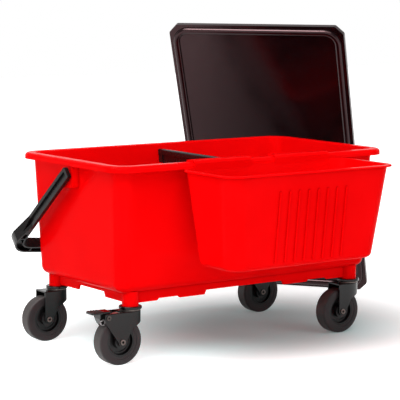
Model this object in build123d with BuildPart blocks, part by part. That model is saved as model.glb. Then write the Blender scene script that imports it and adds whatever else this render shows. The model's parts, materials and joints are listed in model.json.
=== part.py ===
"""Wheeled car wash bucket: divided tub on four swivel casters, bail, side bucket and lid.

Millimetres. X runs along the tub, +Y is the back, +Z is up.
The origin is on the floor, under the middle of the tub.
"""
import os
from math import atan2, cos, degrees, hypot, radians, sin, sqrt, tan

from build123d import *

os.makedirs("parts", exist_ok=True)

# Clearances
running_gap = 0.05
loose_gap = 0.4

# Tub body and rolled rim
rim_length = 585.0
rim_width = 323.4
rim_corner = 40.0
rim_height = 334.5
rim_lip = 10.5
rim_overhang = 16.0
rim_wall = 3.0
rim_edge = 2.4
rim_roll = 6.0
tub_wall = 3.0
tub_floor = 3.5
tub_draft = 2.5
tub_underside = 120.0
tub_bottom_radius = 14.0

# Skirt under the tub and its feet
skirt_wall = 4.0
skirt_foot = 100.0
skirt_slope = 3.5
end_notch_top = 109.0
end_notch_half = 40.0
middle_notch_top = 107.5
middle_notch_half = 83.0
side_notch_top = 103.5
side_notch_start = 138.0
side_notch_end = 185.0

# Caster bosses, stems and swivels
caster_end_inset = 54.5
caster_side_inset = 43.7
caster_swivel = -2.5
caster_trail = 25.0
boss_radius = 14.0
boss_bottom = 97.0
socket_radius = 7.5
socket_depth = 21.0
stem_radius = 5.5
swivel_disc_radius = 19.5
swivel_disc = 5.0
washer_radius = 17.0
washer_thickness = 2.0
king_pin_radius = 4.0
rivet_head_radius = 7.0
rivet_head = 2.2

# Wheel
wheel_radius = 40.0
wheel_width = 25.0
tyre_inner_radius = 26.0
tyre_line_radius = 31.0
tyre_line_step = 1.0
tyre_shoulder = 3.6
hub_radius = 12.0
hub_width = 28.0
web_width = 9.0
bush_radius = 6.0
axle_radius = 3.6
axle_bore_radius = 2.2
axle_head_radius = 4.8
axle_head = 1.6
core_ridge_radius = 19.0
core_ridge_width = 2.4
core_ridge_proud = 2.0
core_rim_band = 3.2

# Fork
fork_half_width = 17.6
fork_sheet = 2.2
fork_crown_rear = 23.0
fork_nose_trail = 14.0
fork_nose_reach = 18.5
fork_apron_drop = 19.0
fork_throat_trail = 5.5
fork_throat_drop = 29.0
fork_eye_radius = 7.8
fork_edge = 1.6

# Brake
pedal_pivot_trail = 51.5
pedal_pivot_height = 83.0
pedal_front_trail = 42.0
pedal_tip_trail = 79.0
pedal_top = 93.2
pedal_plate = 3.6
pedal_half_width = 12.0
pedal_tip_corner = 3.0
pedal_neck = 11.0
pedal_edge = 1.2
pedal_skirt_front_trail = 56.0
pedal_skirt_rear_trail = 64.0
pedal_skirt_drop = 8.0
pedal_skirt_half = 10.5
pedal_wedge_front_trail = 58.0
pedal_wedge_tip_trail = 59.5
pedal_wedge_drop = 10.0
pedal_hub_radius = 6.0
pedal_throw = 20.0
pedal_grip_trail = 67.5
pedal_grip_count = 4
pedal_grip_pitch = 5.0
pedal_grip_radius = 1.0
brake_pin_radius = 2.6
brake_pin_bore_radius = 1.7
brake_pin_head_radius = 4.0
brake_pin_head = 1.4
brake_ear_radius = 6.8
shoe_half_width = 9.0
shoe_gap = 0.4
shoe_spread = 70.0
spring_thickness = 1.0
spring_half_width = 6.0
spring_tip_turn = 15.0

# Bail and the bosses that carry it
bail_pivot_below_rim = 34.0
bail_hang = 39.5
bail_reach = 215.0
bail_bow = 28.0
bail_depth = 17.0
bail_flange = 3.2
bail_web = 4.0
bail_width = 20.5
bail_corner = 34.0
bail_end = 23.0
bail_end_corner = 2.5
bail_side_gap = 1.5
bail_rib = 3.0
bail_arm_depth = 7.0
bail_thick_start = 128.0
bail_thick_end = 176.0
bail_channel_start = 158.0
bail_groove = 9.4
bail_groove_depth = 4.0
bail_groove_run = 28.0
trunnion_radius = 7.0
trunnion_length = 14.0
bail_boss_half = 18.0
bail_boss_drop = 14.0
bail_boss_inset = 2.5
bail_boss_radius = 5.0

# Divider and its guides
divider_panel = 3.2
divider_edge = 6.4
divider_edge_width = 11.0
divider_top_bar = 9.0
divider_top_bar_height = 10.0
divider_below_rim = 9.5
divider_corner = 18.0
guide_rib = 4.0
guide_depth = 7.0
guide_below_rim = 34.5

# Side bucket
side_center = 4.2
side_length = 358.0
side_depth = 148.0
side_below_rim = 9.5
side_height = 160.0
side_taper_length = 19.0
side_taper_front = 18.0
side_taper_back = 14.0
side_corner = 28.0
side_wall = 2.4
side_floor = 2.6
side_flange = 6.0
side_flange_thickness = 3.0
side_flange_edge = 1.2
side_bottom_radius = 9.0
side_rib_count = 8
side_rib_pitch = 20.0
side_rib_width = 3.6
side_rib_proud = 2.8
side_rib_round = 0.7
side_rib_low = 10.0
side_rib_high = 130.0
tab_near = 25.5
tab_far = 144.0
tab_thickness = 2.8
tab_hook = 13.0

# Lid, standing on one short end with its top towards the tub
lid_length = 596.0
lid_width = 352.0
lid_chamfer = 16.0
lid_corner_round = 6.0
lid_thickness = 3.0
lid_lip = 9.0
lid_bead_inset = 6.0
lid_bead_width = 13.0
lid_bead_height = 6.5
lid_bead_round = 6.2
lid_bead_wall = 4.0
lid_bead_corner = 32.0
lid_plug = 8.0
lid_plug_gap = 1.5
lid_stand_x = 437.0
lid_stand_y = 315.0
lid_yaw = -54.5
lid_lean = 23.5

# Heights and widths that follow from the sizes above
rim_underside = rim_height - rim_lip
bail_pivot_height = rim_height - bail_pivot_below_rim
guide_top = rim_height - guide_below_rim
side_rim_height = rim_height - side_below_rim
caster_x = rim_length / 2 - caster_end_inset
caster_y = rim_width / 2 - caster_side_inset
body_length = rim_length - 2 * rim_overhang
body_width = rim_width - 2 * rim_overhang
body_corner = rim_corner - rim_overhang
floor_top = tub_underside + tub_floor
swivel_disc_bottom = boss_bottom - swivel_disc
fork_top = swivel_disc_bottom - washer_thickness - 2 * running_gap
fork_crown_underside = fork_top - fork_sheet
axle_height = wheel_radius
mouth_length = body_length - 2 * tub_wall
mouth_width = body_width - 2 * tub_wall


def body_inset(height):
    """How far the drafted wall has drawn in at a height, against its place at the rim top."""
    return (rim_height - height) * tan(radians(tub_draft))


def write(piece, name):
    """Label a finished piece and write it as its own node."""
    piece.part.label = name
    export_step(piece.part, f"parts/{name}.step")


# Inside of the tub, less the guides that hold the divider
guide_slot = divider_edge + 2 * loose_gap
guide_face = mouth_width / 2 - body_inset(floor_top) - guide_depth
with BuildPart() as tub_cavity:
    for height in (floor_top, rim_height):
        inset = 2 * body_inset(height)
        with BuildSketch(Plane.XY.offset(height)):
            RectangleRounded(mouth_length - inset, mouth_width - inset, body_corner - tub_wall)
    loft(ruled=True)
    fillet(tub_cavity.edges().group_by(Axis.Z)[0], tub_bottom_radius - tub_wall)
    with BuildSketch(Plane.XY.offset(floor_top)):
        with GridLocations(guide_slot + guide_rib, 2 * guide_face + rim_width / 2, 2, 2):
            Rectangle(guide_rib, rim_width / 2)
    extrude(amount=guide_top - floor_top, mode=Mode.SUBTRACT)


def skirt_outline(half_length, notches):
    """Half of a skirt wall's elevation, from its middle out to the caster boss.

    Each notch is (start, end, height) along the wall, with sloped sides.
    """
    points = [(0, tub_underside + tub_floor / 2)]
    for start, end, height in notches:
        if start == 0:
            points.append((0, height))
        else:
            points += [(start, skirt_foot), (start + skirt_slope, height)]
        points += [(end - skirt_slope, height), (end, skirt_foot)]
    return points + [(half_length, skirt_foot), (half_length, tub_underside + tub_floor / 2)]


long_skirt = skirt_outline(
    caster_x,
    [
        (0, middle_notch_half + skirt_slope, middle_notch_top),
        (side_notch_start, side_notch_end, side_notch_top),
    ],
)
end_skirt = skirt_outline(caster_y, [(0, end_notch_half + skirt_slope, end_notch_top)])
bail_boss_face = rim_length / 2 - bail_boss_inset
bail_boss_low = bail_pivot_height - bail_boss_drop
bail_boss_root = body_length / 2 - body_inset(bail_boss_low) - tub_wall

with BuildPart() as tub:
    for height in (tub_underside, rim_height):
        inset = 2 * body_inset(height)
        with BuildSketch(Plane.XY.offset(height)):
            RectangleRounded(body_length - inset, body_width - inset, body_corner)
    loft(ruled=True)
    fillet(tub.edges().group_by(Axis.Z)[0], tub_bottom_radius)
    # Rolled rim, hollow underneath
    with BuildSketch(Plane.XY.offset(rim_underside)):
        RectangleRounded(rim_length, rim_width, rim_corner)
    extrude(amount=rim_lip)
    fillet(tub.edges().group_by(Axis.Z)[-1], rim_roll)
    with BuildSketch(Plane.XY.offset(rim_underside)):
        RectangleRounded(
            rim_length - 2 * rim_wall, rim_width - 2 * rim_wall, rim_corner - rim_wall
        )
        RectangleRounded(body_length, body_width, body_corner, mode=Mode.SUBTRACT)
    extrude(amount=rim_lip - rim_wall, mode=Mode.SUBTRACT)
    # Bosses for the bail on both end walls
    for side in (-1, 1):
        with BuildSketch(Plane.YZ.offset(side * bail_boss_root)):
            with Locations((0, (bail_boss_low + rim_height - rim_wall) / 2)):
                Rectangle(2 * bail_boss_half, rim_height - rim_wall - bail_boss_low)
            low_corners = vertices().group_by(Axis.Z)[0]
            fillet(low_corners, bail_boss_radius)
        extrude(amount=side * (bail_boss_face - bail_boss_root))
    # Skirt walls with their feet, and the caster bosses
    for side in (-1, 1):
        with BuildSketch(Plane.XZ.offset(side * caster_y - skirt_wall / 2)):
            with BuildLine():
                Polyline(*long_skirt, close=True)
            make_face()
            mirror(about=Plane.YZ)
        extrude(amount=skirt_wall)
        with BuildSketch(Plane.YZ.offset(side * caster_x - skirt_wall / 2)):
            with BuildLine():
                Polyline(*end_skirt, close=True)
            make_face()
            mirror(about=Plane.YZ)
        extrude(amount=skirt_wall)
    with BuildSketch(Plane.XY.offset(boss_bottom)):
        with GridLocations(2 * caster_x, 2 * caster_y, 2, 2):
            Circle(boss_radius)
    extrude(amount=tub_underside + tub_floor / 2 - boss_bottom)
    add(tub_cavity.part, mode=Mode.SUBTRACT)
    with BuildSketch(Plane.XY.offset(boss_bottom)):
        with GridLocations(2 * caster_x, 2 * caster_y, 2, 2):
            Circle(socket_radius)
    extrude(amount=socket_depth, mode=Mode.SUBTRACT)
    for side in (-1, 1):
        with BuildSketch(Plane.YZ.offset(side * bail_boss_face)):
            with Locations((0, bail_pivot_height)):
                Circle(trunnion_radius + running_gap)
        extrude(amount=-side * trunnion_length, mode=Mode.SUBTRACT)
    mouth = tub.faces().sort_by(Axis.Z)[-1].inner_wires()[0]
    fillet(mouth.edges(), rim_edge)
write(tub, "tub")


# Divider: a drafted panel with thick side edges and a bar along its top
divider_low = floor_top + loose_gap
divider_high = rim_height - divider_below_rim


def divider_half(height):
    """Half of the divider's width at a height, just clear of the tub wall."""
    return mouth_width / 2 - body_inset(height) - loose_gap


def divider_corners(low, high, inset=0.0):
    """Corners of the drafted divider between two heights, drawn in by inset at its sides."""
    return [
        (-divider_half(low) + inset, low),
        (divider_half(low) - inset, low),
        (divider_half(high) - inset, high),
        (-divider_half(high) + inset, high),
    ]


with BuildPart() as divider:
    with BuildSketch(Plane.YZ) as divider_outline:
        with BuildLine():
            Polyline(*divider_corners(divider_low, divider_high), close=True)
        make_face()
        fillet(divider_outline.vertices().group_by(Axis.Y)[0], divider_corner)
    extrude(amount=divider_edge / 2, both=True)
    # The panel between the edges is thinner
    for side in (-1, 1):
        with BuildSketch(Plane.YZ.offset(side * divider_panel / 2)):
            with BuildLine():
                panel = divider_corners(divider_low, divider_high, divider_edge_width)
                Polyline(*panel, close=True)
            make_face()
        extrude(amount=side * divider_edge, mode=Mode.SUBTRACT)
    with BuildSketch(Plane.YZ):
        with BuildLine():
            bar_low = divider_high - divider_top_bar_height
            Polyline(*divider_corners(bar_low, divider_high), close=True)
        make_face()
    extrude(amount=divider_top_bar / 2, both=True)
    top_edges = divider.edges().group_by(Axis.Z)[-1].filter_by(Axis.Y)
    fillet(top_edges, divider_top_bar / 3)
write(divider, "divider")


# Bail, drawn in the plane in which it hangs: thin arms, and channels round the corners and grip
bail_plane = Plane(
    origin=(0, 0, bail_pivot_height),
    x_dir=(1, 0, 0),
    z_dir=(0, sin(radians(bail_hang)), cos(radians(bail_hang))),
)
bail_side_plane = Plane(
    origin=bail_plane.origin, x_dir=bail_plane.y_dir, z_dir=bail_plane.x_dir
)
arm_inner = rim_length / 2 + bail_side_gap
arm_outer = arm_inner + bail_arm_depth
corner_outer = arm_inner + bail_depth
arm_spine = arm_inner + bail_depth / 2
grip_spine = bail_reach - bail_depth / 2
beyond_end = -bail_end - bail_depth


def bail_spine():
    """Middle line of the bail: two arms, rounded corners and a bowed grip."""
    arm_right = Line((arm_spine, beyond_end), (arm_spine, grip_spine))
    grip = ThreePointArc(
        (arm_spine, grip_spine), (0, grip_spine + bail_bow), (-arm_spine, grip_spine)
    )
    arm_left = Line((-arm_spine, grip_spine), (-arm_spine, beyond_end))
    return arm_right, grip, arm_left


def beside_arm(inset):
    """Outline of the space outward of the right arm, drawn in by inset, to where it is full."""
    return [
        (arm_outer - inset, 2 * beyond_end),
        (arm_outer - inset, bail_thick_start),
        (corner_outer - inset, bail_thick_end),
        (rim_length, bail_thick_end),
        (rim_length, 2 * beyond_end),
    ]


with BuildPart() as bail:
    with BuildSketch(bail_plane):
        with BuildLine() as spine:
            bail_spine()
            fillet(spine.vertices().group_by(Axis.Y)[-1], bail_corner)
            offset(amount=bail_depth / 2, mode=Mode.REPLACE)
        make_face()
    extrude(amount=bail_width / 2, both=True)
    # Both faces of the corners and grip are channelled, with two ribs across each corner
    for side in (-1, 1):
        with BuildSketch(bail_plane.offset(side * bail_web / 2)):
            with BuildLine() as channel:
                bail_spine()
                fillet(channel.vertices().group_by(Axis.Y)[-1], bail_corner)
                offset(amount=bail_depth / 2 - bail_flange, mode=Mode.REPLACE)
            make_face()
            with Locations(
                (arm_spine, grip_spine - bail_corner), (-arm_spine, grip_spine - bail_corner)
            ):
                Rectangle(bail_depth, bail_rib, mode=Mode.SUBTRACT)
            with Locations(
                (arm_spine - bail_corner, grip_spine), (bail_corner - arm_spine, grip_spine)
            ):
                Rectangle(bail_rib, 2 * bail_depth, mode=Mode.SUBTRACT)
            with Locations((0, bail_channel_start)):
                Rectangle(
                    2 * rim_length, bail_reach, align=(Align.CENTER, Align.MAX), mode=Mode.SUBTRACT
                )
            for turn in (-1, 1):
                with BuildLine():
                    Polyline(*[(turn * x, y) for x, y in beside_arm(bail_flange)], close=True)
                make_face(mode=Mode.SUBTRACT)
        extrude(amount=side * bail_width, mode=Mode.SUBTRACT)
    # The arms are thin, and grooved along their outer faces
    with BuildSketch(bail_plane):
        with BuildLine():
            Polyline(*beside_arm(0), close=True)
        make_face()
        mirror(about=Plane.YZ)
    extrude(amount=bail_width, both=True, mode=Mode.SUBTRACT)
    groove_start = (bail_width - bail_groove) / 2 - bail_end
    groove_outline = [
        (groove_start, -bail_groove / 2),
        (bail_thick_start + bail_groove_run, -bail_groove / 2),
        (bail_thick_start, bail_groove / 2),
        (groove_start, bail_groove / 2),
    ]
    for side in (-1, 1):
        with BuildSketch(bail_side_plane.offset(side * (arm_outer - bail_groove_depth))) as groove:
            with BuildLine():
                Polyline(*groove_outline, close=True)
            make_face()
            fillet(groove.vertices().group_by(Axis.X)[0], bail_end_corner)
        extrude(amount=side * bail_depth, mode=Mode.SUBTRACT)
    # Seen from the side, the ends are square with small corners
    with BuildSketch(bail_side_plane) as bail_side:
        with Locations((-bail_end, 0)):
            Rectangle(
                bail_end + bail_reach + bail_bow, bail_width, align=(Align.MIN, Align.CENTER)
            )
        fillet(bail_side.vertices().group_by(Axis.X)[0], bail_end_corner)
    extrude(amount=rim_length, both=True, mode=Mode.INTERSECT)
    # Trunnions that turn in the tub's bosses
    trunnion_root = arm_inner + (bail_arm_depth - bail_groove_depth) / 2
    for side in (-1, 1):
        with BuildSketch(Plane.YZ.offset(side * trunnion_root)):
            with Locations((0, bail_pivot_height)):
                Circle(trunnion_radius)
        trunnion_reach = trunnion_root - bail_boss_face + trunnion_length - 2 * loose_gap
        extrude(amount=-side * trunnion_reach)
write(bail, "bail")


# Side bucket, hooked over the front rim
side_back = -rim_width / 2 - loose_gap
side_front = side_back - side_depth + side_flange
side_low = side_rim_height - side_height


def side_section(height, shrink=0.0):
    """Centre, length and depth of the side bucket's outline at a height, drawn in by shrink."""
    drop = (side_rim_height - height) / side_height
    back = side_back - side_taper_back * drop - shrink
    front = side_front + side_taper_front * drop + shrink
    length = side_length - 2 * side_flange - 2 * side_taper_length * drop - 2 * shrink
    return (side_center, (back + front) / 2), length, back - front


with BuildPart() as side_cavity:
    for height in (side_low + side_floor, side_rim_height):
        center, length, depth = side_section(height, side_wall)
        with BuildSketch(Plane.XY.offset(height)):
            with Locations(center):
                RectangleRounded(length, depth, side_corner - side_wall)
    loft(ruled=True)
    fillet(side_cavity.edges().group_by(Axis.Z)[0], side_bottom_radius - side_wall)

front_lean = side_taper_front / side_height
rib_base = side_low + side_rib_low
tab_top = rim_height + loose_gap + tab_thickness
tab_low = tab_top - tab_hook
tab_inner = -mouth_width / 2 + body_inset(tab_low) + loose_gap + tab_thickness
with BuildPart() as side_bucket:
    for height in (side_low, side_rim_height):
        center, length, depth = side_section(height)
        with BuildSketch(Plane.XY.offset(height)):
            with Locations(center):
                RectangleRounded(length, depth, side_corner)
    loft(ruled=True)
    fillet(side_bucket.edges().group_by(Axis.Z)[0], side_bottom_radius)
    # Upright ribs on the front, following its slope
    center, length, depth = side_section(rib_base)
    with BuildSketch(Plane.XY.offset(rib_base)):
        with Locations((side_center, center[1] - depth / 2)):
            with GridLocations(side_rib_pitch, 0, side_rib_count, 1):
                RectangleRounded(side_rib_width, 2 * side_rib_proud, side_rib_round)
    extrude(amount=side_rib_high - side_rib_low, dir=(0, -front_lean, 1))
    # Flange round the sides and front
    with BuildSketch(Plane.XY.offset(side_rim_height - side_flange_thickness)):
        with Locations((side_center, side_back - side_depth / 2)):
            RectangleRounded(side_length, side_depth, side_corner + side_flange / 2)
    extrude(amount=side_flange_thickness)
    fillet(side_bucket.edges().group_by(Axis.Z)[-1], side_flange_edge)
    add(side_cavity.part, mode=Mode.SUBTRACT)
    # Two tabs that rise from the back wall and hook over the tub's rim
    for side in (-1, 1):
        with BuildSketch(Plane.YZ.offset(side_center + side * tab_near)) as tab:
            with BuildLine():
                Polyline(
                    (side_back, side_rim_height - 2 * tab_hook),
                    (side_back - tab_thickness, side_rim_height - 2 * tab_hook),
                    (side_back - tab_thickness, tab_top),
                    (tab_inner, tab_top),
                    (tab_inner, tab_low),
                    (tab_inner - tab_thickness, tab_low),
                    (tab_inner - tab_thickness, rim_height + loose_gap),
                    (side_back, rim_height + loose_gap),
                    close=True,
                )
            make_face()
            top_corners = tab.vertices().group_by(Axis.Y)[-1]
            fillet(top_corners, 2 * tab_thickness)
        extrude(amount=side * (tab_far - tab_near))
write(side_bucket, "side_bucket")


# Lid: drawn on the plane of its top face, which leans over towards the tub
yaw = radians(lid_yaw)
lean = radians(lid_lean)
lid_plane = Plane(
    origin=(lid_stand_x, lid_stand_y, 0),
    x_dir=(cos(yaw), sin(yaw), 0),
    z_dir=(cos(lean) * sin(yaw), -cos(lean) * cos(yaw), -sin(lean)),
)
lid_middle = (0, lid_length / 2)
plug_length = mouth_length - 2 * lid_plug_gap
plug_width = mouth_width - 2 * lid_plug_gap
plug_corner = body_corner - tub_wall - lid_plug_gap


def lid_outline(inset):
    """The lid's outer outline with clipped corners, drawn in by inset."""
    with Locations(lid_middle):
        blank = Rectangle(lid_width - 2 * inset, lid_length - 2 * inset)
    clip = lid_chamfer - inset * (2 - sqrt(2))
    clipped = chamfer(blank.vertices(), clip)
    fillet(clipped.vertices(), lid_corner_round - inset)


with BuildPart() as lid:
    with BuildSketch(lid_plane.offset(-lid_lip)):
        lid_outline(0)
    extrude(amount=lid_lip)
    with BuildSketch(lid_plane.offset(-lid_lip)):
        lid_outline(lid_thickness)
    extrude(amount=lid_lip - lid_thickness, mode=Mode.SUBTRACT)
    # Plug ring that drops inside the tub's mouth
    with BuildSketch(lid_plane.offset(-lid_thickness)):
        with Locations(lid_middle):
            RectangleRounded(plug_width, plug_length, plug_corner)
            RectangleRounded(
                plug_width - 2 * lid_thickness,
                plug_length - 2 * lid_thickness,
                plug_corner - lid_thickness,
                mode=Mode.SUBTRACT,
            )
    extrude(amount=-lid_plug)
    # Round bead all round the top, hollow underneath
    bead_length = lid_length - 2 * lid_bead_inset
    bead_width = lid_width - 2 * lid_bead_inset
    with BuildSketch(lid_plane):
        with Locations(lid_middle):
            RectangleRounded(bead_width, bead_length, lid_bead_corner)
            RectangleRounded(
                bead_width - 2 * lid_bead_width,
                bead_length - 2 * lid_bead_width,
                lid_bead_corner - lid_bead_width,
                mode=Mode.SUBTRACT,
            )
    extrude(amount=lid_bead_height)
    bead_top = lid.faces().sort_by(Axis(lid_plane.origin, lid_plane.z_dir))[-1]
    fillet(bead_top.edges(), lid_bead_round)
    hollow_inner = lid_bead_width - lid_bead_wall
    with BuildSketch(lid_plane.offset(-lid_thickness)):
        with Locations(lid_middle):
            RectangleRounded(
                bead_width - 2 * lid_bead_wall,
                bead_length - 2 * lid_bead_wall,
                lid_bead_corner - lid_bead_wall,
            )
            RectangleRounded(
                bead_width - 2 * hollow_inner,
                bead_length - 2 * hollow_inner,
                lid_bead_corner - hollow_inner,
                mode=Mode.SUBTRACT,
            )
    extrude(amount=lid_bead_height, mode=Mode.SUBTRACT)
write(lid, "lid")


# Casters: every form is drawn once about its stem axis, with the wheel trailing along -X

with BuildPart() as stem_socket:
    with BuildSketch(Plane.XY.offset(boss_bottom)):
        Circle(socket_radius)
        Circle(stem_radius, mode=Mode.SUBTRACT)
    extrude(amount=socket_depth)

with BuildPart() as stem:
    head_top = fork_crown_underside - 2 * running_gap
    with BuildSketch(Plane.XZ):
        with BuildLine():
            Polyline(
                (0, boss_bottom + socket_depth),
                (stem_radius, boss_bottom + socket_depth),
                (stem_radius, boss_bottom),
                (swivel_disc_radius, boss_bottom),
                (swivel_disc_radius, swivel_disc_bottom),
                (king_pin_radius, swivel_disc_bottom),
                (king_pin_radius, head_top),
                (rivet_head_radius, head_top),
                (rivet_head_radius, head_top - rivet_head),
                (0, head_top - rivet_head),
                close=True,
            )
        make_face()
    revolve(axis=Axis.Z)
    disc_edge = stem.edges().filter_by(GeomType.CIRCLE).sort_by(SortBy.RADIUS)[-2:]
    fillet(disc_edge, swivel_disc / 4)

with BuildPart() as thrust_washer:
    with BuildSketch(Plane.XY.offset(swivel_disc_bottom)):
        Circle(washer_radius)
        Circle(king_pin_radius + running_gap, mode=Mode.SUBTRACT)
    extrude(amount=-washer_thickness)

axle_line = Axis((-caster_trail, 0, axle_height), (0, 1, 0))
wheel_plane = Plane(
    origin=(-caster_trail, 0, axle_height), x_dir=(0, 1, 0), z_dir=(1, 0, 0)
)


def wheel_ring(inner, outer, width):
    """Section of a plain ring round the axle."""
    with Locations((0, (inner + outer) / 2)):
        Rectangle(width, outer - inner)


with BuildPart() as tyre:
    with BuildSketch(wheel_plane) as tyre_section:
        wheel_ring(tyre_inner_radius, tyre_line_radius, wheel_width - 2 * tyre_line_step)
        wheel_ring(tyre_line_radius, wheel_radius, wheel_width)
        shoulders = tyre_section.vertices().group_by(Axis.Y)[-1]
        fillet(shoulders, tyre_shoulder)
    revolve(axis=axle_line)

with BuildPart() as wheel_core:
    with BuildSketch(wheel_plane):
        wheel_ring(bush_radius, hub_radius, hub_width)
        wheel_ring(hub_radius, tyre_inner_radius, web_width)
        rim_band_width = wheel_width - 3 * tyre_line_step
        wheel_ring(tyre_inner_radius - core_rim_band, tyre_inner_radius, rim_band_width)
        ridge = core_ridge_width / 2
        ridge_width = web_width + 2 * core_ridge_proud
        wheel_ring(core_ridge_radius - ridge, core_ridge_radius + ridge, ridge_width)
    revolve(axis=axle_line)

with BuildPart() as wheel_bush:
    with BuildSketch(wheel_plane):
        wheel_ring(axle_radius + running_gap, bush_radius, hub_width)
    revolve(axis=axle_line)


def rivet_form(radius, bore, head_radius, head, trail, height):
    """A headed pin across the fork, with its heads on the cheeks' outer faces."""
    section = Plane(origin=(-trail, 0, height), x_dir=(0, 1, 0), z_dir=(1, 0, 0))
    with BuildPart() as rivet:
        with BuildSketch(section):
            wheel_ring(bore, radius, 2 * fork_half_width)
            for side in (-1, 1):
                with Locations((side * (fork_half_width + head / 2), (bore + head_radius) / 2)):
                    Rectangle(head, head_radius - bore)
        revolve(axis=Axis((-trail, 0, height), (0, 1, 0)))
    return rivet


axle = rivet_form(
    axle_radius, axle_bore_radius, axle_head_radius, axle_head, caster_trail, axle_height
)
brake_pin = rivet_form(
    brake_pin_radius, brake_pin_bore_radius, brake_pin_head_radius, brake_pin_head,
    pedal_pivot_trail, pedal_pivot_height,
)


def horseshoe(inset, rear):
    """Plan of the fork, drawn in by inset: a long rounded nose and straight sides to the rear."""
    half_width = fork_half_width - inset
    with Locations((-fork_nose_trail, 0)):
        Ellipse(fork_nose_trail + fork_nose_reach - inset, half_width)
    with Locations((-(fork_nose_trail + rear) / 2, 0)):
        Rectangle(rear - fork_nose_trail, 2 * half_width)


def fork_form(braked):
    """Pressed fork: crown, curved front apron and two cheeks that carry the axle."""
    eye_rear = (-caster_trail - fork_eye_radius, axle_height)
    eye_low = (-caster_trail, axle_height - fork_eye_radius)
    eye_front = (-caster_trail + fork_eye_radius, axle_height)
    throat = (-fork_throat_trail, fork_top - fork_throat_drop)
    apron = (fork_nose_reach, fork_top - fork_apron_drop)
    front_top = (fork_nose_reach, fork_top)
    if braked:
        ear_rear = -pedal_pivot_trail - brake_ear_radius
        back_edge = [(ear_rear, fork_top), (ear_rear, pedal_pivot_height - brake_ear_radius)]
    else:
        ear_rear = eye_rear[0]
        back_edge = [(ear_rear, fork_top)]
    inner = fork_half_width - fork_sheet
    with BuildPart() as fork:
        with BuildSketch(Plane.XY.offset(eye_low[1])):
            horseshoe(0, -ear_rear)
        extrude(amount=fork_top - eye_low[1])
        crown_edge = fork.edges().group_by(Axis.Z)[-1].sort_by(Axis.X)[1:]
        fillet(crown_edge, fork_edge)
        with BuildSketch(Plane.XY.offset(eye_low[1])):
            horseshoe(fork_sheet, -ear_rear)
        extrude(amount=fork_crown_underside - eye_low[1], mode=Mode.SUBTRACT)
        # Side outline, drawn in towards the axle
        with BuildSketch(Plane.XZ) as side_view:
            with BuildLine():
                Polyline(front_top, *back_edge, eye_rear)
                ThreePointArc(eye_rear, eye_low, eye_front)
                Polyline(eye_front, throat, apron, front_top)
            make_face()
            if braked:
                ear_corners = side_view.vertices().group_by(Axis.X)[0]
                fillet(ear_corners, fork_edge * 2)
        extrude(amount=fork_half_width, both=True, mode=Mode.INTERSECT)
        if braked:
            # The crown stops short of the pedal
            with BuildSketch(Plane.XY.offset(fork_crown_underside)):
                with Locations((-fork_crown_rear + ear_rear / 2, 0)):
                    Rectangle(-ear_rear, 2 * inner)
            extrude(amount=fork_sheet, mode=Mode.SUBTRACT)
        with BuildSketch(Plane.XY.offset(fork_crown_underside)):
            Circle(king_pin_radius + running_gap)
        extrude(amount=fork_sheet, mode=Mode.SUBTRACT)
        with BuildSketch(Plane.XZ):
            with Locations((-caster_trail, axle_height)):
                Circle(axle_radius)
            if braked:
                with Locations((-pedal_pivot_trail, pedal_pivot_height)):
                    Circle(brake_pin_radius)
        extrude(amount=fork_half_width, both=True, mode=Mode.SUBTRACT)
    return fork


plain_fork = fork_form(braked=False)
brake_fork = fork_form(braked=True)

# Brake pedal: a ridged plate on a neck above its hub, with a skirt behind its hub
pivot = (-pedal_pivot_trail, pedal_pivot_height)
plate_underside = pedal_top - pedal_plate
plate_middle = -(pedal_front_trail + pedal_tip_trail) / 2
with BuildPart() as brake_pedal:
    with BuildSketch(Plane.XY.offset(plate_underside)) as plate:
        with Locations((plate_middle, 0)):
            Rectangle(pedal_tip_trail - pedal_front_trail, 2 * pedal_half_width)
        fillet(plate.vertices().group_by(Axis.X)[0], pedal_tip_corner)
    extrude(amount=pedal_plate)
    fillet(brake_pedal.edges().group_by(Axis.Z)[-1], pedal_edge)
    with BuildSketch(Plane.XZ):
        with Locations(pivot):
            Circle(pedal_hub_radius)
        with Locations((pivot[0], (pivot[1] + plate_underside) / 2)):
            Rectangle(pedal_neck, plate_underside - pivot[1])
    extrude(amount=pedal_half_width, both=True)
    with BuildSketch(Plane.XY.offset(plate_underside)):
        with Locations((-(pedal_skirt_front_trail + pedal_skirt_rear_trail) / 2, 0)):
            Rectangle(pedal_skirt_rear_trail - pedal_skirt_front_trail, 2 * pedal_skirt_half)
    extrude(amount=-pedal_skirt_drop)
    with BuildSketch(Plane.XZ):
        with BuildLine():
            skirt_low = plate_underside - pedal_skirt_drop
            Polyline(
                (-pedal_wedge_front_trail, plate_underside),
                (-pedal_skirt_rear_trail, skirt_low),
                (-pedal_wedge_tip_trail, skirt_low - pedal_wedge_drop),
                (-pedal_wedge_front_trail, skirt_low - pedal_wedge_drop),
                close=True,
            )
        make_face()
    extrude(amount=shoe_half_width, both=True)
    with BuildSketch(Plane.XZ):
        with Locations((-pedal_grip_trail, pedal_top)):
            with GridLocations(pedal_grip_pitch, 0, pedal_grip_count, 1):
                Circle(pedal_grip_radius)
    extrude(amount=pedal_skirt_half, both=True)
    with BuildSketch(Plane.XZ):
        with Locations(pivot):
            Circle(brake_pin_radius + running_gap)
    extrude(amount=pedal_half_width, both=True, mode=Mode.SUBTRACT)

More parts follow.
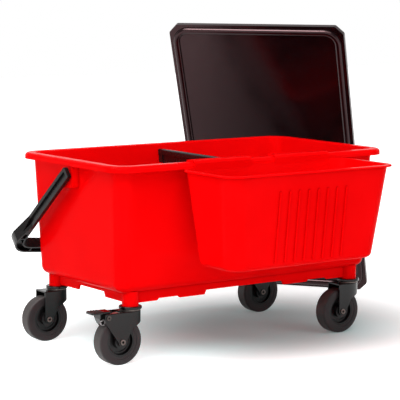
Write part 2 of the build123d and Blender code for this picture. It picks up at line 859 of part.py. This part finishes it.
# Brake shoe: a sector below the hub that swings onto the tread when the pedal goes down
reach_back = pedal_pivot_trail - caster_trail
reach_up = pedal_pivot_height - axle_height
shoe_radius = hypot(reach_back, reach_up) - wheel_radius - shoe_gap
toward_axle = degrees(atan2(-reach_up, reach_back))
shoe_middle = toward_axle - pedal_throw
with BuildPart() as brake_shoe:
    with BuildSketch(Plane.XZ):
        with Locations(pivot):
            Circle(shoe_radius)
            Circle(pedal_hub_radius, mode=Mode.SUBTRACT)
        with BuildLine():
            ray = 2 * shoe_radius
            edges_at = [radians(shoe_middle + turn * shoe_spread / 2) for turn in (-1, 1)]
            sector = [(pivot[0] + ray * cos(a), pivot[1] + ray * sin(a)) for a in edges_at]
            Polyline(pivot, *sector, close=True)
        make_face(mode=Mode.INTERSECT)
    extrude(amount=shoe_half_width, both=True)

# Leaf spring: fixed under the crown, its tip resting on the pedal's hub
spring_tip_angle = radians(spring_tip_turn)
spring_tip_reach = pedal_hub_radius + loose_gap + spring_thickness
with BuildPart() as brake_spring:
    with BuildSketch(Plane.XZ):
        with BuildLine() as leaf:
            Polyline(
                (-rivet_head_radius - loose_gap, fork_crown_underside),
                (-fork_crown_rear, fork_crown_underside),
                (
                    pivot[0] + spring_tip_reach * cos(spring_tip_angle),
                    pivot[1] + spring_tip_reach * sin(spring_tip_angle),
                ),
            )
            offset(amount=spring_thickness, side=Side.LEFT)
        make_face()
    extrude(amount=spring_half_width, both=True)

# Place one set of caster pieces at each corner of the tub
shared_forms = {
    "stem_socket": stem_socket,
    "stem": stem,
    "thrust_washer": thrust_washer,
    "tyre": tyre,
    "wheel_core": wheel_core,
    "wheel_bush": wheel_bush,
    "axle": axle,
}
brake_forms = {
    "brake_pedal": brake_pedal,
    "brake_shoe": brake_shoe,
    "brake_pin": brake_pin,
    "brake_spring": brake_spring,
}
corners = {
    "front_left": (-caster_x, -caster_y, True),
    "front_right": (caster_x, -caster_y, False),
    "back_left": (-caster_x, caster_y, False),
    "back_right": (caster_x, caster_y, True),
}
for corner, (x, y, braked) in corners.items():
    forms = dict(shared_forms, fork=brake_fork if braked else plain_fork)
    if braked:
        forms.update(brake_forms)
    for form_name, form in forms.items():
        with BuildPart() as piece:
            with Locations(Location((x, y, 0), (0, 0, caster_swivel))):
                add(form.part)
        write(piece, f"{form_name}_{corner}")
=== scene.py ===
"""Finishes, small fittings and studio for a wheeled wash bucket.

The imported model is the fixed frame: metres, X along the tub, +Y the back, +Z up.
"""
import json
import math

import bmesh
import bpy
from bpy.props import FloatProperty, FloatVectorProperty, PointerProperty
from bpy.types import Operator, Panel, PropertyGroup
from mathutils import Matrix, Vector


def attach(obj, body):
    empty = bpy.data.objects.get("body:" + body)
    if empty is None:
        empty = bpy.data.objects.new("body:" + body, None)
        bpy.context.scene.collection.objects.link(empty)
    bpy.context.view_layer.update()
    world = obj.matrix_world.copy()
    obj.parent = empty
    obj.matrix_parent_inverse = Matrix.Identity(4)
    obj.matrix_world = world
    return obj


bl_info = {
    "name": "Wheeled Wash Bucket",
    "version": (1, 0, 0),
    "blender": (4, 5, 0),
    "location": "View3D > Sidebar > Wash Bucket",
    "description": "Moulded finishes, caster fittings and a studio for a divided wash bucket",
    "category": "Object",
}

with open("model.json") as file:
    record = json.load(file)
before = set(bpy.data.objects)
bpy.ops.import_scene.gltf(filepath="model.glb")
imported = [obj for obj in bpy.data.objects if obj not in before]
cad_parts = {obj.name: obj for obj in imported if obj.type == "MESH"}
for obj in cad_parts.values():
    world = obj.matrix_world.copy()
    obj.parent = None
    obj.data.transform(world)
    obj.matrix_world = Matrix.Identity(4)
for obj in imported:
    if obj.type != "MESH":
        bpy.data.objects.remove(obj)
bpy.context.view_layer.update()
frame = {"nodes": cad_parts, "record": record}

CORNERS = ("front_left", "front_right", "back_left", "back_right")
BRAKED = ("front_left", "back_right")
COIL_BACK = 0.060
COIL_SIDE = -0.0102
COIL_HEIGHT = 0.0755
COIL_TURNS = 1.5
COIL_STEPS = 12
JOINTS = frame["record"]["behaviour"]["joints"]
STEMS = {joint["name"]: joint["pos_m"] for joint in JOINTS if joint["name"].startswith("swivel_")}
SWIVEL = math.radians(-2.5)
WHEEL_AXIS = (-math.sin(SWIVEL), math.cos(SWIVEL), 0.0)


def colour(label, text, default):
    """A colour that a user would change."""
    return FloatVectorProperty(
        name=label, description=text, default=default, size=3, subtype="COLOR", min=0, max=1
    )


def share(label, text, default, high=1.0):
    """A plain number from nought up, such as a roughness."""
    return FloatProperty(name=label, description=text, default=default, min=0, max=high)


def length(label, text, default):
    """A length in metres."""
    return FloatProperty(
        name=label, description=text, default=default, min=0, unit="LENGTH", precision=5
    )


class MouldedFinish(PropertyGroup):
    """Colours and grain of the moulded tub, side bucket, divider, bail and lid."""

    red: colour("Red", "Red of the tub and the side bucket", (0.93, 0.0016, 0.0026))
    red_deep: colour("Deep red", "Darker red in the clouding of the tub", (0.84, 0.0006, 0.0012))
    # Painted shade: the crease red darkens the red beside ribs and rims, standing in for the
    # shade that falls in those creases.
    red_crease_shade: colour("Red crease", "Red in the creases beside ribs and rims", (0.55, 0.0, 0.0))
    crease_shade_reach: length("Crease reach", "How far a crease shades the wall beside it", 0.006)
    red_roughness: share("Red roughness", "Sharpness of the red mouldings' gloss", 0.2)
    red_gloss: share("Red gloss", "Strength of the red mouldings' gloss", 0.008)
    black: colour("Black", "Black of the bail and the divider", (0.005, 0.0042, 0.0042))
    black_roughness: share("Black roughness", "Sharpness of the black mouldings' gloss", 0.28)
    bail_gloss: share("Bail gloss", "Strength of the bail's gloss", 0.13)
    divider_gloss: share("Divider gloss", "Strength of the divider's gloss", 0.4)
    lid: colour("Lid", "Black of the lid", (0.004, 0.0012, 0.0016))
    lid_roughness: share("Lid roughness", "Sharpness of the lid's gloss", 0.2)
    lid_gloss: share("Lid gloss", "Strength of the lid's gloss", 0.4)
    lid_tint: colour("Lid tint", "Tint of the light that the lid mirrors", (1.0, 0.6, 0.63))
    grain: length("Grain", "Size of the moulded surface grain", 0.0011)
    grain_depth: length("Grain depth", "Depth of the moulded surface grain", 0.00003)
    sink: length("Sink", "Size of the slow waviness of a moulded wall", 0.07)
    sink_depth: length("Sink depth", "Depth of the slow waviness of a moulded wall", 0.00035)


class CasterFinish(PropertyGroup):
    """Colours and gloss of the casters."""

    tyre: colour("Tyre", "Grey of the soft tyre", (0.024, 0.0172, 0.0183))
    # The tread colour is partly dust, partly a painted sheen standing in for the light the tread
    # catches.
    tyre_dust_and_sheen: colour("Tyre dust", "Dusty grey of the tread", (0.085, 0.076, 0.073))
    core: colour("Core", "Black of the wheel centre", (0.0035, 0.0027, 0.0029))
    paint: colour("Paint", "Black of the pressed forks and pedals", (0.004, 0.0037, 0.0037))
    paint_roughness: share("Paint roughness", "Sharpness of the painted steel's gloss", 0.12)
    paint_gloss: share("Paint gloss", "Strength of the painted steel's gloss", 0.24)
    bright: colour("Bright steel", "Plated pins and springs", (0.62, 0.58, 0.54))
    bright_roughness: share("Plating roughness", "Gloss of the plated steel", 0.3)
    rivet: colour("Rivet", "Dull steel of the tubular rivets", (0.15, 0.12, 0.11))
    pin: colour("Pin", "Blackened steel of the brake pins", (0.09, 0.074, 0.068))
    wire: length("Wire", "Thickness of the pedal spring's wire", 0.001)
    coil: length("Coil", "Radius of the pedal spring's coil", 0.0042)
    leg: length("Leg", "Length of the pedal spring's legs", 0.003)


class StudioSettings(PropertyGroup):
    """Floor, light and camera."""

    floor: colour("Floor", "Colour of the pale floor", (0.86, 0.86, 0.86))
    # Painted light: a cyan floor under the tub cancels the red light bounced onto it, so the
    # shadow there reads grey.
    floor_against_red_bounce: colour(
        "Floor beneath", "Floor under the tub, set against its red", (0.47, 0.86, 0.86)
    )
    # Painted glow: the floor is lifted towards white for camera and mirror rays, least near the
    # tub, which fades its shadow.
    floor_lift: share("Floor lift", "How far the floor near the part is lifted to white", 0.09)
    shade_reach: length("Shade reach", "Where the floor begins to fade to plain white", 0.1)
    white_reach: length("White reach", "Where the floor is plain white", 0.6)
    fill: share("Fill", "Strength of the even light from all round", 0.4, 4)
    room: share("Room", "Strength of the dim room that faces the white backdrop", 0.2)
    overhead: FloatProperty(
        name="Overhead", description="Overhead soft box", default=54, min=0, unit="POWER"
    )
    gloss: FloatProperty(
        name="Gloss", description="Soft box that is only mirrored, over the left end", default=90,
        min=0, unit="POWER",
    )
    left: FloatProperty(
        name="Left", description="Soft box on the left", default=26, min=0, unit="POWER"
    )
    front: FloatProperty(
        name="Front", description="Soft box on the right of the camera", default=14, min=0,
        unit="POWER",
    )
    lens: FloatProperty(
        name="Lens", description="Focal length on a 36 mm sensor", default=157.15, min=1,
        subtype="DISTANCE_CAMERA",
    )


# Material building

MIX_FACTOR = 0
MIX_FIRST = 6
MIX_SECOND = 7
MIX_RESULT = 2
# Settings of the painted crease shade: where the darkening starts and ends, and how many samples
# find it.
CREASE_SHADE_SHUT = 0.35
CREASE_SHADE_OPEN = 0.95
CREASE_SHADE_SAMPLES = 8
CLOUD_SIZE = 0.16
GLOSS_PATCH = 0.035
GLOSS_DULL = 0.06
GLOSS_SHARP = 0.05
BLOOM_SIZE = 0.02
RUBBER_GRAIN = 0.0009
RUBBER_GRAIN_DEPTH = 0.00004
RUBBER_SMOOTH = 0.5
RUBBER_ROUGH = 0.66
RUBBER_GLOSS = 0.28
TREAD_FACING = 0.3
SIDE_FACING = 0.9
PEEL_SIZE = 0.0022
PEEL_DEPTH = 0.00002
DULL_PATCH = 0.014
SPOT_SIZE = 0.0016
SPOT_SHADE = 0.62
RIVET_ROUGHNESS = 0.36
CORE_ROUGHNESS = 0.38
CORE_GLOSS = 0.3
DIVIDER_GRAIN_SHARE = 0.2
PALER_BLACK = 1.5
PALER_LID = 1.4
PALER_PAINT = 1.2
SHOE_SHADE = 0.5


def shaded(base, factor):
    """A colour made paler or darker by a factor."""
    return [factor * channel for channel in base]


def place(tree, kind, inputs=(), **settings):
    """Add a shader node, set its own settings, and set or link its inputs by name."""
    made = tree.nodes.new(kind)
    for name, value in settings.items():
        setattr(made, name, value)
    for name, value in dict(inputs).items():
        feed(tree, made, name, value)
    return made


def feed(tree, made, name, value):
    """Link an output socket to an input, or set the input's own value."""
    if isinstance(value, bpy.types.NodeSocket):
        tree.links.new(value, made.inputs[name])
    else:
        made.inputs[name].default_value = value


def blank(name):
    """A new material, its tree and its surface shader."""
    material = bpy.data.materials.new(name)
    material.use_nodes = True
    return material, material.node_tree, material.node_tree.nodes["Principled BSDF"]


def noise(tree, at, size, detail=3.0, rough=0.55):
    """Noise whose blobs are about size across, in metres."""
    made = place(
        tree,
        "ShaderNodeTexNoise",
        {"Vector": at, "Scale": 1 / size, "Detail": detail, "Roughness": rough},
    )
    return made.outputs["Fac"]


def between(tree, factor, low, high, start=0.3, end=0.7):
    """Take a factor from low at start to high at end."""
    made = place(
        tree,
        "ShaderNodeMapRange",
        {"Value": factor, "From Min": start, "From Max": end, "To Min": low, "To Max": high},
    )
    return made.outputs["Result"]


def tint(tree, factor, first, second):
    """Blend two colours, each written out or from a socket, by a factor."""
    made = place(tree, "ShaderNodeMix", {MIX_FACTOR: factor}, data_type="RGBA")
    for place_in_mix, value in ((MIX_FIRST, first), (MIX_SECOND, second)):
        linked = isinstance(value, bpy.types.NodeSocket)
        feed(tree, made, place_in_mix, value if linked else (*value, 1))
    return made.outputs[MIX_RESULT]


def bump(tree, height, depth, under=None):
    """Raise a surface by a height of up to depth, over another bump."""
    inputs = {"Height": height, "Distance": depth, "Strength": 1.0}
    if under is not None:
        inputs["Normal"] = under
    return place(tree, "ShaderNodeBump", inputs).outputs["Normal"]


def object_place(tree):
    """Coordinates fixed to the piece, in metres."""
    return place(tree, "ShaderNodeTexCoord").outputs["Object"]


def paint_crease_shade(tree, base, crease, reach):
    """Paint shade into the piece's own narrow creases, darkening a colour where ambient occlusion
    finds them shut in.
    """
    unshaded_share = place(
        tree,
        "ShaderNodeAmbientOcclusion",
        {"Distance": reach},
        samples=CREASE_SHADE_SAMPLES,
        only_local=True,
    )
    unshaded = between(tree, unshaded_share.outputs["AO"], 0, 1, CREASE_SHADE_SHUT, CREASE_SHADE_OPEN)
    return tint(tree, unshaded, crease, base)


def moulded(
    name, first, second, roughness, finish, specular,
    gloss_tint=(1, 1, 1), crease=None, grain_share=1.0,
):
    """Injection moulded plastic: slow clouding and sink, fine grain and uneven gloss, with
    painted shade in the creases when a crease colour is given.
    """
    material, tree, shader = blank(name)
    at = object_place(tree)
    cloud = noise(tree, at, CLOUD_SIZE, 2.0)
    sink = noise(tree, at, finish.sink, 1.0, 0.4)
    grain = noise(tree, at, finish.grain, 2.0)
    gloss = noise(tree, at, GLOSS_PATCH, 4.0, 0.65)
    rolled = bump(tree, sink, finish.sink_depth)
    body = tint(tree, between(tree, cloud, 0, 1), first, second)
    # Painted shade: darken the colour in narrow creases by ambient occlusion.
    if crease is not None:
        body = paint_crease_shade(tree, body, crease, finish.crease_shade_reach)
    feed(tree, shader, "Base Color", body)
    uneven = between(tree, gloss, roughness - GLOSS_SHARP, roughness + GLOSS_DULL)
    feed(tree, shader, "Roughness", uneven)
    feed(tree, shader, "Normal", bump(tree, grain, grain_share * finish.grain_depth, rolled))
    shader.inputs["Specular IOR Level"].default_value = specular
    shader.inputs["Specular Tint"].default_value = (*gloss_tint, 1)
    return material


def rubber(name, base, dust_and_sheen):
    """Soft tyre rubber: matt, with a faint bloom and a lighter tread, partly dust and partly a
    painted sheen for the light the tread catches.
    """
    material, tree, shader = blank(name)
    at = object_place(tree)
    bloom = noise(tree, at, BLOOM_SIZE, 4.0, 0.6)
    grain = noise(tree, at, RUBBER_GRAIN, 2.0)
    facing = place(tree, "ShaderNodeTexCoord").outputs["Normal"]
    sideways = place(
        tree, "ShaderNodeVectorMath", {0: facing, 1: WHEEL_AXIS}, operation="DOT_PRODUCT"
    )
    flat = place(tree, "ShaderNodeMath", {0: sideways.outputs["Value"]}, operation="ABSOLUTE")
    tread = between(tree, flat.outputs[0], 1, 0, TREAD_FACING, SIDE_FACING)
    # Painted sheen with dust: the tread, where it faces outward, is made lighter.
    dusty_and_lit = place(tree, "ShaderNodeMath", {0: tread, 1: bloom}, operation="MULTIPLY")
    feed(tree, shader, "Base Color", tint(tree, dusty_and_lit.outputs[0], base, dust_and_sheen))
    feed(tree, shader, "Roughness", between(tree, bloom, RUBBER_SMOOTH, RUBBER_ROUGH))
    feed(tree, shader, "Normal", bump(tree, grain, RUBBER_GRAIN_DEPTH))
    shader.inputs["Specular IOR Level"].default_value = RUBBER_GLOSS
    return material


def painted(name, base, roughness, specular):
    """Black paint over pressed steel: a light orange peel and dulled patches."""
    material, tree, shader = blank(name)
    at = object_place(tree)
    peel = noise(tree, at, PEEL_SIZE, 1.0, 0.4)
    dull = noise(tree, at, DULL_PATCH, 4.0, 0.6)
    paler = shaded(base, PALER_PAINT)
    feed(tree, shader, "Base Color", tint(tree, between(tree, dull, 0, 1), base, paler))
    feed(tree, shader, "Roughness", between(tree, dull, roughness - 0.03, roughness + 0.04))
    feed(tree, shader, "Normal", bump(tree, peel, PEEL_DEPTH))
    shader.inputs["Specular IOR Level"].default_value = specular
    return material


def plated(name, base, roughness):
    """Plated steel, lightly brushed and spotted."""
    material, tree, shader = blank(name)
    at = object_place(tree)
    spots = noise(tree, at, SPOT_SIZE, 3.0, 0.6)
    darker = shaded(base, SPOT_SHADE)
    feed(tree, shader, "Base Color", tint(tree, between(tree, spots, 0, 1), base, darker))
    feed(tree, shader, "Roughness", between(tree, spots, roughness - 0.06, roughness + 0.14))
    shader.inputs["Metallic"].default_value = 1.0
    return material


def finish_nodes(material, *names):
    """Give carried-over nodes their finish."""
    for name in names:
        piece = frame["nodes"][name]
        piece.data.materials.clear()
        piece.data.materials.append(material)


def caster_point(corner, back, side, height):
    """A point given from a caster's stem: behind it, to its side and above the floor."""
    x, y, _ = STEMS[f"swivel_{corner}"]
    return Vector((x, y, 0)) + Matrix.Rotation(SWIVEL, 3, "Z") @ Vector((-back, side, height))


def pedal_spring(corner, spring, material):
    """The pedal's wire spring: a coil beside the wedge with a leg up and a leg down."""
    steps = int(COIL_TURNS * COIL_STEPS)
    path = []
    for step in range(steps + 1):
        angle = 2 * math.pi * step / COIL_STEPS
        path.append((
            COIL_BACK + spring.coil * math.sin(angle),
            COIL_SIDE - 2 * spring.wire * step / COIL_STEPS,
            COIL_HEIGHT + spring.coil * math.cos(angle),
        ))
    first, last = path[0], path[-1]
    path.insert(0, (first[0] - spring.leg, first[1], first[2]))
    path.append((last[0] - spring.leg, last[1], last[2]))
    curve = bpy.data.curves.new(f"pedal_spring_{corner}", "CURVE")
    curve.dimensions = "3D"
    curve.bevel_depth = spring.wire / 2
    curve.bevel_resolution = 3
    curve.use_fill_caps = True
    line = curve.splines.new("NURBS")
    line.points.add(len(path) - 1)
    for point, at in zip(line.points, path):
        point.co = (*caster_point(corner, *at), 1)
    line.use_endpoint_u = True
    line.order_u = 3
    curve.materials.append(material)
    piece = bpy.data.objects.new(f"pedal_spring_{corner}", curve)
    bpy.context.scene.collection.objects.link(piece)
    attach(piece, f"pedal_{corner}")


# Pieces

class WASHBUCKET_OT_tub(Operator):
    """Finish the red tub and the side bucket that hangs on it"""

    bl_idname = "washbucket.tub"
    bl_label = "Tub and side bucket"

    def execute(self, context):
        finish = context.scene.washbucket_moulded
        # The red gets painted shade in its creases.
        red = moulded(
            "red_plastic", finish.red, finish.red_deep, finish.red_roughness, finish,
            finish.red_gloss, crease=finish.red_crease_shade,
        )
        finish_nodes(red, "tub", "side_bucket")
        return {"FINISHED"}


class WASHBUCKET_OT_black_mouldings(Operator):
    """Finish the divider, the bail and the stem sockets"""

    bl_idname = "washbucket.black_mouldings"
    bl_label = "Divider, bail and sockets"

    def execute(self, context):
        finish = context.scene.washbucket_moulded
        paler = shaded(finish.black, PALER_BLACK)
        black = moulded(
            "black_plastic", finish.black, paler, finish.black_roughness, finish,
            finish.bail_gloss,
        )
        glossy = moulded(
            "divider_plastic", finish.black, paler, finish.black_roughness, finish,
            finish.divider_gloss, grain_share=DIVIDER_GRAIN_SHARE,
        )
        finish_nodes(glossy, "divider")
        finish_nodes(black, "bail")
        finish_nodes(black, *[f"stem_socket_{corner}" for corner in CORNERS])
        return {"FINISHED"}


class WASHBUCKET_OT_lid(Operator):
    """Finish the lid that stands behind the tub"""

    bl_idname = "washbucket.lid"
    bl_label = "Lid"

    def execute(self, context):
        finish = context.scene.washbucket_moulded
        paler = shaded(finish.lid, PALER_LID)
        glossy = moulded(
            "lid_plastic", finish.lid, paler, finish.lid_roughness, finish, finish.lid_gloss,
            gloss_tint=finish.lid_tint,
        )
        finish_nodes(glossy, "lid")
        return {"FINISHED"}


class WASHBUCKET_OT_wheels(Operator):
    """Finish the tyres, wheel centres and bushes"""

    bl_idname = "washbucket.wheels"
    bl_label = "Wheels"

    def execute(self, context):
        finish = context.scene.washbucket_caster
        moulded_finish = context.scene.washbucket_moulded
        tyre = rubber("tyre_rubber", finish.tyre, finish.tyre_dust_and_sheen)
        paler = shaded(finish.core, PALER_BLACK)
        core = moulded(
            "core_plastic", finish.core, paler, CORE_ROUGHNESS, moulded_finish, CORE_GLOSS
        )
        for corner in CORNERS:
            finish_nodes(tyre, f"tyre_{corner}")
            finish_nodes(core, f"wheel_core_{corner}", f"wheel_bush_{corner}")
        return {"FINISHED"}


class WASHBUCKET_OT_forks(Operator):
    """Finish the forks, stems, washers and axles"""

    bl_idname = "washbucket.forks"
    bl_label = "Forks and stems"

    def execute(self, context):
        finish = context.scene.washbucket_caster
        paint = painted("fork_paint", finish.paint, finish.paint_roughness, finish.paint_gloss)
        rivet = plated("rivet_steel", finish.rivet, RIVET_ROUGHNESS)
        for corner in CORNERS:
            finish_nodes(paint, f"fork_{corner}", f"stem_{corner}")
            finish_nodes(rivet, f"axle_{corner}", f"thrust_washer_{corner}")
        return {"FINISHED"}


class WASHBUCKET_OT_brakes(Operator):
    """Finish the brake pedals, shoes, pins and springs"""

    bl_idname = "washbucket.brakes"
    bl_label = "Brakes"

    def execute(self, context):
        finish = context.scene.washbucket_caster
        paint = painted("pedal_paint", finish.paint, finish.paint_roughness, finish.paint_gloss)
        shoe = rubber("shoe_rubber", shaded(finish.tyre, SHOE_SHADE), finish.tyre)
        rivet = bpy.data.materials["rivet_steel"]
        pin = plated("pin_steel", finish.pin, finish.bright_roughness)
        bright = plated("bright_steel", finish.bright, finish.bright_roughness)
        for corner in BRAKED:
            finish_nodes(paint, f"brake_pedal_{corner}")
            finish_nodes(shoe, f"brake_shoe_{corner}")
            finish_nodes(pin, f"brake_pin_{corner}")
            finish_nodes(bright, f"brake_spring_{corner}")
            pedal_spring(corner, finish, rivet)
        return {"FINISHED"}


# Studio

CAMERA_PLACE = (-1.81707, -2.50868, 0.64236)
CAMERA_RIGHT = (0.81184, -0.58386, 0.00426)
CAMERA_UP = (0.07101, 0.10598, 0.99183)
CAMERA_BACK = (-0.57954, -0.80491, 0.12750)
FLOOR_SIDE = 14.0
FLOOR_GLOW_MIDDLE = (0.16, -0.02, 0.0)
FOOTPRINT_HALF = (0.42, 0.33)
FOOTPRINT_MIDDLE_X = 0.02
FOOTPRINT_SHARE = (1 / FOOTPRINT_HALF[0], 1 / FOOTPRINT_HALF[1], 0.0)
FOOTPRINT_SHIFT = (-FOOTPRINT_MIDDLE_X / FOOTPRINT_HALF[0], 0.0, 0.0)
FOOTPRINT_INNER = 0.2
FOOTPRINT_OUTER = 1.2
AIM = (0.05, 0.05, 0.2)
BACKDROP = (0.58, 0.81, 0.0)
ROOM_END = -0.2
BACKDROP_START = 0.5
OVERHEAD_PLACE = (-0.95, -0.95, 2.3)
OVERHEAD_SIZE = (2.2, 2.2)
GLOSS_PLACE = (-1.05, 0.1, 2.4)
GLOSS_SIZE = (1.5, 1.1)
LEFT_PLACE = (-2.4, -0.9, 1.3)
LEFT_SIZE = (2.6, 2.4)
FRONT_PLACE = (1.4, -2.7, 1.2)
FRONT_SIZE = (1.6, 1.6)


def soft_box(name, at, size, power):
    """A rectangle of soft light aimed at the part."""
    light = bpy.data.lights.new(name, "AREA")
    light.shape = "RECTANGLE"
    light.size, light.size_y = size
    light.energy = power
    lamp = bpy.data.objects.new(name, light)
    lamp.location = at
    lamp.rotation_euler = (Vector(AIM) - Vector(at)).to_track_quat("-Z", "Y").to_euler()
    bpy.context.scene.collection.objects.link(lamp)
    return lamp


def seen_by(tree, *rays):
    """One for the kinds of ray named, nought for all others."""
    path = place(tree, "ShaderNodeLightPath")
    total = 0.0
    for ray in rays:
        joined = place(
            tree,
            "ShaderNodeMath",
            {0: total, 1: path.outputs[f"Is {ray} Ray"]},
            operation="MAXIMUM",
        )
        total = joined.outputs[0]
    return total


class WASHBUCKET_OT_studio(Operator):
    """Lay the floor, hang the lights and set the camera"""

    bl_idname = "washbucket.studio"
    bl_label = "Studio"

    def execute(self, context):
        studio = context.scene.washbucket_studio
        self.lay_floor(studio)
        self.light(context.scene, studio)
        self.set_camera(context.scene, studio)
        context.scene.view_settings.view_transform = "Standard"
        return {"FINISHED"}

    def lay_floor(self, studio):
        material, tree, shader = blank("studio_floor")
        shader.inputs["Roughness"].default_value = 0.9
        shader.inputs["Specular IOR Level"].default_value = 0.0
        shader.inputs["Emission Color"].default_value = (1, 1, 1, 1)
        at = place(tree, "ShaderNodeNewGeometry").outputs["Position"]
        print_place = place(
            tree,
            "ShaderNodeVectorMath",
            {0: at, 1: FOOTPRINT_SHARE, 2: FOOTPRINT_SHIFT},
            operation="MULTIPLY_ADD",
        )
        beyond = place(
            tree, "ShaderNodeVectorMath", {0: print_place.outputs["Vector"]}, operation="LENGTH"
        )
        outside = place(
            tree,
            "ShaderNodeMapRange",
            {
                "Value": beyond.outputs["Value"],
                "From Min": FOOTPRINT_INNER,
                "From Max": FOOTPRINT_OUTER,
            },
            interpolation_type="SMOOTHSTEP",
        )
        # Painted light: cyan under the tub, fading out beyond its footprint, cancels the tub's
        # red bounce light.
        under = tint(tree, outside.outputs["Result"], studio.floor_against_red_bounce, studio.floor)
        feed(tree, shader, "Base Color", under)
        # Painted glow: for camera and mirror rays the floor glows, least near the tub and plain
        # white further out, which fades the tub's real shadow away from it.
        away = place(tree, "ShaderNodeVectorMath", {0: at, 1: FLOOR_GLOW_MIDDLE}, operation="DISTANCE")
        paler = place(
            tree,
            "ShaderNodeMapRange",
            {
                "Value": away.outputs["Value"],
                "From Min": studio.shade_reach,
                "From Max": studio.white_reach,
                "To Min": studio.floor_lift,
                "To Max": 1.0,
            },
            interpolation_type="SMOOTHSTEP",
        )
        lift = place(
            tree,
            "ShaderNodeMath",
            {0: seen_by(tree, "Camera", "Glossy", "Transmission"), 1: paler.outputs["Result"]},
            operation="MULTIPLY",
        )
        feed(tree, shader, "Emission Strength", lift.outputs[0])
        mesh = bpy.data.meshes.new("studio_floor")
        sheet = bmesh.new()
        bmesh.ops.create_grid(sheet, x_segments=1, y_segments=1, size=FLOOR_SIDE / 2)
        sheet.to_mesh(mesh)
        sheet.free()
        mesh.materials.append(material)
        floor = bpy.data.objects.new("studio_floor", mesh)
        bpy.context.scene.collection.objects.link(floor)

    def light(self, scene, studio):
        world = bpy.data.worlds.new("studio_world")
        world.use_nodes = True
        tree = world.node_tree
        ground = tree.nodes["Background"]
        ground.inputs["Color"].default_value = (1, 1, 1, 1)
        toward = place(tree, "ShaderNodeTexCoord").outputs["Generated"]
        behind = place(
            tree, "ShaderNodeVectorMath", {0: toward, 1: BACKDROP}, operation="DOT_PRODUCT"
        )
        room = between(
            tree, behind.outputs["Value"], studio.room, 1.0, ROOM_END, BACKDROP_START
        )
        mirrored = between(tree, seen_by(tree, "Glossy"), studio.fill, room, 0, 1)
        strength = between(tree, seen_by(tree, "Camera", "Transmission"), mirrored, 1.0, 0, 1)
        feed(tree, ground, "Strength", strength)
        scene.world = world
        soft_box("overhead_box", OVERHEAD_PLACE, OVERHEAD_SIZE, studio.overhead)
        gloss_box = soft_box("gloss_box", GLOSS_PLACE, GLOSS_SIZE, studio.gloss)
        gloss_box.visible_diffuse = False
        soft_box("left_box", LEFT_PLACE, LEFT_SIZE, studio.left)
        soft_box("front_box", FRONT_PLACE, FRONT_SIZE, studio.front)

    def set_camera(self, scene, studio):
        lens = bpy.data.cameras.new("photo_camera")
        lens.lens = studio.lens
        lens.sensor_width = 36
        lens.clip_end = 100
        camera = bpy.data.objects.new("photo_camera", lens)
        turn = Matrix((CAMERA_RIGHT, CAMERA_UP, CAMERA_BACK)).transposed()
        camera.matrix_world = Matrix.Translation(CAMERA_PLACE) @ turn.to_4x4()
        scene.collection.objects.link(camera)
        scene.camera = camera


class WASHBUCKET_PT_panel(Panel):
    """Lists the settings and the steps in their order"""

    bl_idname = "WASHBUCKET_PT_panel"
    bl_label = "Wash Bucket"
    bl_space_type = "VIEW_3D"
    bl_region_type = "UI"
    bl_category = "Wash Bucket"

    def draw(self, context):
        for heading, group in SETTINGS.items():
            box = self.layout.box()
            box.label(text=heading)
            held = getattr(context.scene, group)
            for name in held.__annotations__:
                box.prop(held, name)
        for step in STEPS:
            self.layout.operator(step.bl_idname)


SETTINGS = {
    "Mouldings": "washbucket_moulded",
    "Casters": "washbucket_caster",
    "Studio": "washbucket_studio",
}
GROUPS = {
    "washbucket_moulded": MouldedFinish,
    "washbucket_caster": CasterFinish,
    "washbucket_studio": StudioSettings,
}
STEPS = (
    WASHBUCKET_OT_studio,
    WASHBUCKET_OT_tub,
    WASHBUCKET_OT_black_mouldings,
    WASHBUCKET_OT_lid,
    WASHBUCKET_OT_wheels,
    WASHBUCKET_OT_forks,
    WASHBUCKET_OT_brakes,
)


def register():
    """Make the settings, steps and panel known to Blender."""
    for made in (*GROUPS.values(), *STEPS, WASHBUCKET_PT_panel):
        bpy.utils.register_class(made)
    for name, group in GROUPS.items():
        setattr(bpy.types.Scene, name, PointerProperty(type=group))


def unregister():
    """Take the settings, steps and panel away again."""
    for name in GROUPS:
        delattr(bpy.types.Scene, name)
    for made in reversed((*GROUPS.values(), *STEPS, WASHBUCKET_PT_panel)):
        bpy.utils.unregister_class(made)


def main():
    """Dress the part step by step."""
    register()
    for step in STEPS:
        area, call = step.bl_idname.split(".")
        getattr(getattr(bpy.ops, area), call)()


if __name__ == "__main__":
    main()
